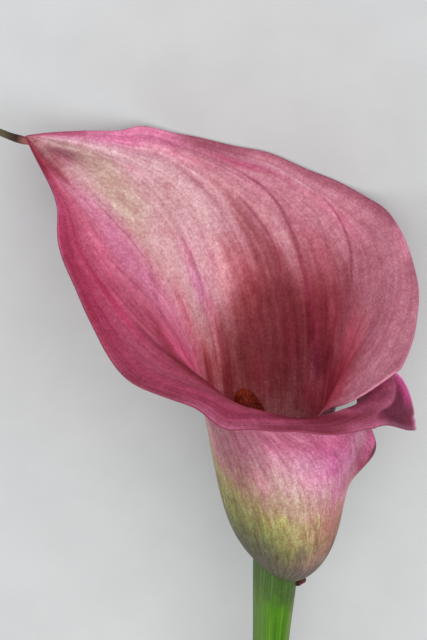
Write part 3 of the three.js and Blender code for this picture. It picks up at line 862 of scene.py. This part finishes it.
def washed(p, base, patches, wander):
    """Lays the pigments, and the patches of painted light and shade among them, over the ground colour, with edges
    that run out in streaks.
    """
    for pigment in PIGMENTS:
        if pigment in patches:
            amount = p.attribute(pigment)
            loose = p.times(amount, p.minus(1.6, amount))
            share = p.times_add(p.times(loose, 1.2), wander, amount)
            base = p.mix(1.0, base, p.ramp(share, coat(PIGMENTS[pigment]), "LINEAR"), "MULTIPLY")
    return base


# The light that one more unit of the petal's own pigment lets through.
GRAIN_LIGHT, GRAIN_MIDDLE = (0.42, 0.19, 0.24), 0.5


def grained(p, base, parts):
    """Makes the pigment denser or thinner by a weighted sum of noises."""
    density = GRAIN_MIDDLE
    for noise, weight in parts:
        density = p.times_add(swing(p, noise), weight, density)
    tint = p.ramp(density, [(t, tuple(v ** (t - GRAIN_MIDDLE) for v in GRAIN_LIGHT) + (1,))
                            for t in (0.0, 0.25, 0.5, 0.75, 1.0)], "LINEAR")
    return p.mix(1.0, base, tint, "MULTIPLY")


def inside_material():
    p = Paint("petal_inside", roughness=0.6, specular=0.14)
    vein, up = p.attribute("vein"), p.attribute("up")
    soft = swing(p, streaks(p, vein, up, 14, 3.0, 3.1, 4.0))
    split = swing(p, streaks(p, vein, up, 44, 5.0, 8.3, 4.0))
    wander = p.times_add(swing(p, clouds_of(p, 140.0)), 0.4, p.add(soft, split))
    across = p.times_add(p.times_add(soft, 0.10, vein), 0.5, 0.5)
    base = washed(p, p.ramp(across, INSIDE_GROUND), INSIDE, wander)
    # beyond its fold the ear is painted plum, partly painted shade, as the skin there turns down away from the light;
    # it is brighter towards its two margins, where the magenta is partly painted light and a painted highlight runs
    # along the edge
    beyond, ear = p.attribute("beyond"), p.attribute("ear")
    aside = p.times_add(wander, 0.16, p.times(p.attribute("aside"), 0.1))
    plum = p.mix(p.ease(up, 0.88, 0.94), p.ramp(aside, EAR_HIGH), p.ramp(aside, EAR_LOW))
    plum = p.mix(p.ease(p.attribute("rim"), 1.8, 0.2, 0.0, 0.5), plum, colour(138, 86, 108))
    base = p.mix(p.times(ear, p.ease(beyond, -0.5, 0.1, 0.0, 0.92)), base, plum)
    # a painted highlight along the crest of the fold
    base = p.mix(p.times(ear, p.times(p.bump_at(beyond, -0.7, 0.5), 0.45)), base, colour(190, 108, 146))
    # veins, fibres and grain
    broad = streaks(p, vein, up, 26, 4.0, 7.7)
    medium = streaks(p, vein, up, 60, 12.0, 2.9)
    fibre = streaks(p, vein, up, 120, 40.0, 1.3)
    away = p.math("ABSOLUTE", p.times_add(swing(p, medium), 2.0, p.attribute("off")))
    line = p.times(p.attribute("ink"), p.ease(away, 1.5, 0.1))
    base = p.mix(p.times(line, 0.75), base, colour(136, 40, 68))
    base = grained(p, base, ((broad, 0.7), (medium, 0.4), (fibre, 0.25), (specks_of(p, 420.0), 0.6),
                             (specks_of(p, 1700.0), 0.9)))
    return p.finish(base, p.add(p.times(fibre, 0.6), p.times(medium, 0.5)), 0.16, 0.0002)


def outside_material():
    p = Paint("petal_outside", roughness=0.56, specular=0.18)
    vein, up = p.attribute("vein"), p.attribute("up")
    lean = p.add(vein, p.times(p.times(up, up), 0.35))
    soft = swing(p, streaks(p, lean, up, 18, 3.0, 5.1, 4.0))
    wander = p.times_add(swing(p, clouds_of(p, 150.0)), 0.7, p.times(soft, 1.3))
    base = washed(p, p.ramp(p.times_add(wander, 0.12, up), OUTSIDE_GROUND), OUTSIDE, wander)
    broad = streaks(p, lean, up, 46, 9.0, 2.2)
    medium = streaks(p, lean, up, 100, 22.0, 4.6)
    fibre = streaks(p, lean, up, 220, 70.0, 9.4)
    low = p.ease(up, 0.42, 0.16)
    base = p.mix(p.times(p.ease(medium, 0.5, 0.72), p.times_add(low, 0.4, 0.1)), base, colour(92, 72, 56))
    base = grained(p, base, ((broad, 0.7), (medium, 0.65), (fibre, 0.6), (specks_of(p, 420.0), 0.5),
                             (specks_of(p, 1700.0), 0.9)))
    # the curled margin has dried brown in its lower half, up to a slanting line a few millimetres from its edge
    past = p.times_add(up, 130.0, p.minus(p.attribute("aside"), 61.75))
    dry = p.times(p.ease(past, 5.5, 4.8), p.bump_at(up, 0.464, 0.026))
    base = p.mix(p.times(dry, 0.9), base, colour(84, 34, 40))
    return p.finish(base, p.add(p.times(fibre, 0.6), p.times(medium, 0.5)), 0.25, 0.0002)


def edge_material():
    p = Paint("petal_edge", roughness=0.5, specular=0.12)
    vein, up = p.attribute("vein"), p.attribute("up")
    along = streaks(p, vein, up, 30, 30, 4.4, 4.0)
    dark = p.ramp(along, [(0.25, colour(104, 36, 56)), (0.5, colour(140, 58, 82)), (0.75, colour(172, 92, 120))])
    pale = p.ramp(along, [(0.25, colour(178, 98, 124)), (0.5, colour(200, 126, 150)), (0.75, colour(222, 158, 178))])
    base = p.mix(p.ease(vein, -0.95, -0.985), dark, pale)
    base = p.mix(p.ease(up, 0.12, 0.02), base, colour(98, 96, 66))
    return p.finish(base, along, 0.2)


def tail_material():
    p = Paint("petal_tail", roughness=0.5, specular=0.15)
    along = p.attribute("along")
    noise = clouds_of(p, 900.0)
    place = p.times_add(noise, 0.16, p.minus(along, 0.08))
    base = p.ramp(place, [
        (0.1, colour(150, 90, 84)), (0.3, colour(56, 38, 32)), (0.5, colour(84, 78, 56)),
        (0.7, colour(118, 124, 64)), (0.95, colour(168, 170, 90)),
    ])
    return p.finish(base, noise, 0.3)


def scar_material():
    p = Paint("petal_scar", roughness=0.7, specular=0.3)
    noise = p.noise(p.position(), 1400.0, 5.0, 0.65)
    base = p.ramp(noise, [(0.3, colour(50, 22, 22)), (0.55, colour(78, 34, 32)), (0.8, colour(112, 66, 54))])
    return p.finish(base, noise, 0.5)


def stem_material():
    p = Paint("stem_skin", roughness=0.42, specular=0.16)
    level, side, front = p.attribute("level"), p.attribute("wave_a"), p.attribute("wave_b")

    def lengthways(fine, long, detail):
        """Noise drawn out along the stem."""
        return p.noise(p.vector(p.times(side, fine), p.times(front, fine), p.times(level, long)), 1.0, detail)

    stripe, fibre = lengthways(7.0, 0.02, 3.0), lengthways(26.0, 0.05, 4.0)
    base = p.ramp(stripe, [(0.3, colour(46, 96, 8)), (0.5, colour(70, 120, 12)), (0.7, colour(100, 142, 28))])
    # painted sheen and light: the stem's sides, as the camera sees them, are painted greyer on the left and paler on
    # the right
    edge = p.times_add(stripe, 0.5, side)
    base = p.mix(p.ease(edge, 0.0, -0.35, 0.0, 0.8), base, colour(96, 124, 58))
    base = p.mix(p.ease(edge, 0.9, 1.3, 0.0, 0.75), base, colour(128, 140, 76))
    base = p.mix(p.ease(fibre, 0.45, 0.7, 0.0, 0.4), base, colour(50, 88, 18))
    # a darker, mottled collar below the spathe
    cloud = lengthways(3.0, 0.25, 4.0)
    collar = p.times_add(p.minus(p.times_add(stripe, 0.5, cloud), 0.75), 12.0, level)
    mottled = p.ramp(fibre, [(0.35, colour(44, 72, 26)), (0.5, colour(62, 84, 38)), (0.65, colour(94, 108, 66))])
    base = p.mix(p.ease(collar, -6.5, 0.5, 0.0, 0.85), base, mottled)
    speck = p.noise(p.position(), 900.0, 3.0, 0.6)
    base = p.mix(p.ease(speck, 0.55, 0.75, 0.0, 0.22), base, colour(116, 146, 62))
    # the cut end's flesh
    flesh = p.ramp(clouds_of(p, 1500.0), [(0.3, colour(150, 168, 104)), (0.6, colour(196, 206, 152))])
    base = p.mix(p.ease(p.attribute("core"), 0.97, 0.9), base, flesh)
    return p.finish(base, p.add(fibre, p.times(speck, 0.3)), 0.3, 0.0002)


def spadix_material():
    p = Paint("spadix_florets", roughness=0.62, specular=0.12)
    dome, eye, tone = p.attribute("dome"), p.attribute("eye"), p.attribute("tone")
    base = p.ramp(dome, [(0.0, colour(64, 15, 12)), (0.5, colour(72, 16, 12)), (0.8, colour(100, 24, 13)),
                         (1.0, colour(126, 36, 18))])
    base = p.mix(p.ease(tone, 0.2, 1.0, 0.0, 0.4), base, colour(84, 16, 12))
    base = p.mix(p.times(eye, p.ease(tone, 0.5, 0.9, 0.0, 0.6)), base, colour(178, 84, 44))
    noise = p.noise(p.position(), 2200.0, 3.0, 0.6)
    base = p.mix(p.ease(noise, 0.5, 0.75, 0.0, 0.25), base, colour(156, 58, 28))
    return p.finish(base, noise, 0.3)


# ---------------------------------------------------------------- the flower

for piece, node, materials in (
        (blade(), "spathe", (inside_material(), outside_material(), edge_material())),
        (tail(), "spathe", (tail_material(),)),
        (scar(), "spathe", (scar_material(),)),
        (stem(), "stem", (stem_material(),)),
        (spadix(), "spadix", (spadix_material(),))):
    for material in materials:
        piece.data.materials.append(material)
    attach(piece, "root")
    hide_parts(node)

# ---------------------------------------------------------------- camera, floor and light

# The photograph looks down into the mouth from 28 degrees above the level across the stem.
LOOK_DOWN = 28
CAMERA_DISTANCE = 600
SENSOR = 36
MM_PER_PIXEL = 0.22
PHOTO_WIDTH, PHOTO_HEIGHT = 427, 640
ORIGIN_X, ORIGIN_Y = 275, 580  # where the photograph shows the flower's origin

tilt = math.radians(LOOK_DOWN)
right = np.array([1.0, 0, 0])
forward = np.array([0, math.cos(tilt), -math.sin(tilt)])
upward = np.array([0, math.sin(tilt), math.cos(tilt)])
eye = (-forward * CAMERA_DISTANCE - right * (ORIGIN_X - PHOTO_WIDTH / 2) * MM_PER_PIXEL
       - upward * (PHOTO_HEIGHT / 2 - ORIGIN_Y) * MM_PER_PIXEL)
camera = bpy.data.objects.new("camera", bpy.data.cameras.new("camera"))
bpy.context.scene.collection.objects.link(camera)
camera.data.sensor_fit = "VERTICAL"
camera.data.sensor_width = camera.data.sensor_height = SENSOR
camera.data.lens = SENSOR * CAMERA_DISTANCE / (PHOTO_HEIGHT * MM_PER_PIXEL)
camera.data.clip_start, camera.data.clip_end = 0.02, 20
turned = Matrix([list(lay @ v) for v in (right, upward, -forward)]).transposed().to_4x4()
turned.translation = Vector(lay_down(eye))
camera.matrix_world = turned
bpy.context.scene.camera = camera


def floor():
    cells, reach = 96, 3.0
    per = cells + 1
    mesh = bpy.data.meshes.new("floor")
    span = np.linspace(-reach, reach, per)
    x, y = np.meshgrid(span, span, indexing="ij")
    points = np.stack([x, y, np.zeros_like(x)], -1).reshape(-1, 3)
    faces = [(i * per + j, (i + 1) * per + j, (i + 1) * per + j + 1, i * per + j + 1)
             for i in range(cells) for j in range(cells)]
    mesh.from_pydata(points.tolist(), [], faces)
    plane = bpy.data.objects.new("floor", mesh)
    bpy.context.scene.collection.objects.link(plane)
    p = Paint("floor_paper", roughness=0.9, specular=0.1)
    noise = p.noise(p.position(), 60.0, 4.0)
    mesh.materials.append(p.finish(p.ramp(noise, [(0.3, colour(195, 196, 196)), (0.7, colour(199, 200, 200))])))


floor()

LIGHTS_AIM = Vector((0, 0.04, 0.03))


def area_light(name, place, size, power):
    light = bpy.data.lights.new(name, "AREA")
    light.shape, light.size, light.energy = "DISK", size, power
    lamp = bpy.data.objects.new(name, light)
    bpy.context.scene.collection.objects.link(lamp)
    lamp.location = place
    lamp.rotation_mode = "QUATERNION"
    lamp.rotation_quaternion = (LIGHTS_AIM - Vector(place)).to_track_quat("-Z", "Y")


area_light("key", place=(0.5, 0.6, 1.9), size=2.6, power=30)
area_light("fill", place=(-0.9, -0.9, 1.5), size=2.2, power=11)
world = bpy.context.scene.world or bpy.data.worlds.new("world")
bpy.context.scene.world = world
world.use_nodes = True
sky = world.node_tree.nodes["Background"]
sky.inputs["Color"].default_value = (0.9, 0.92, 0.94, 1)
sky.inputs["Strength"].default_value = 0.62
bpy.context.scene.view_settings.view_transform = "Standard"
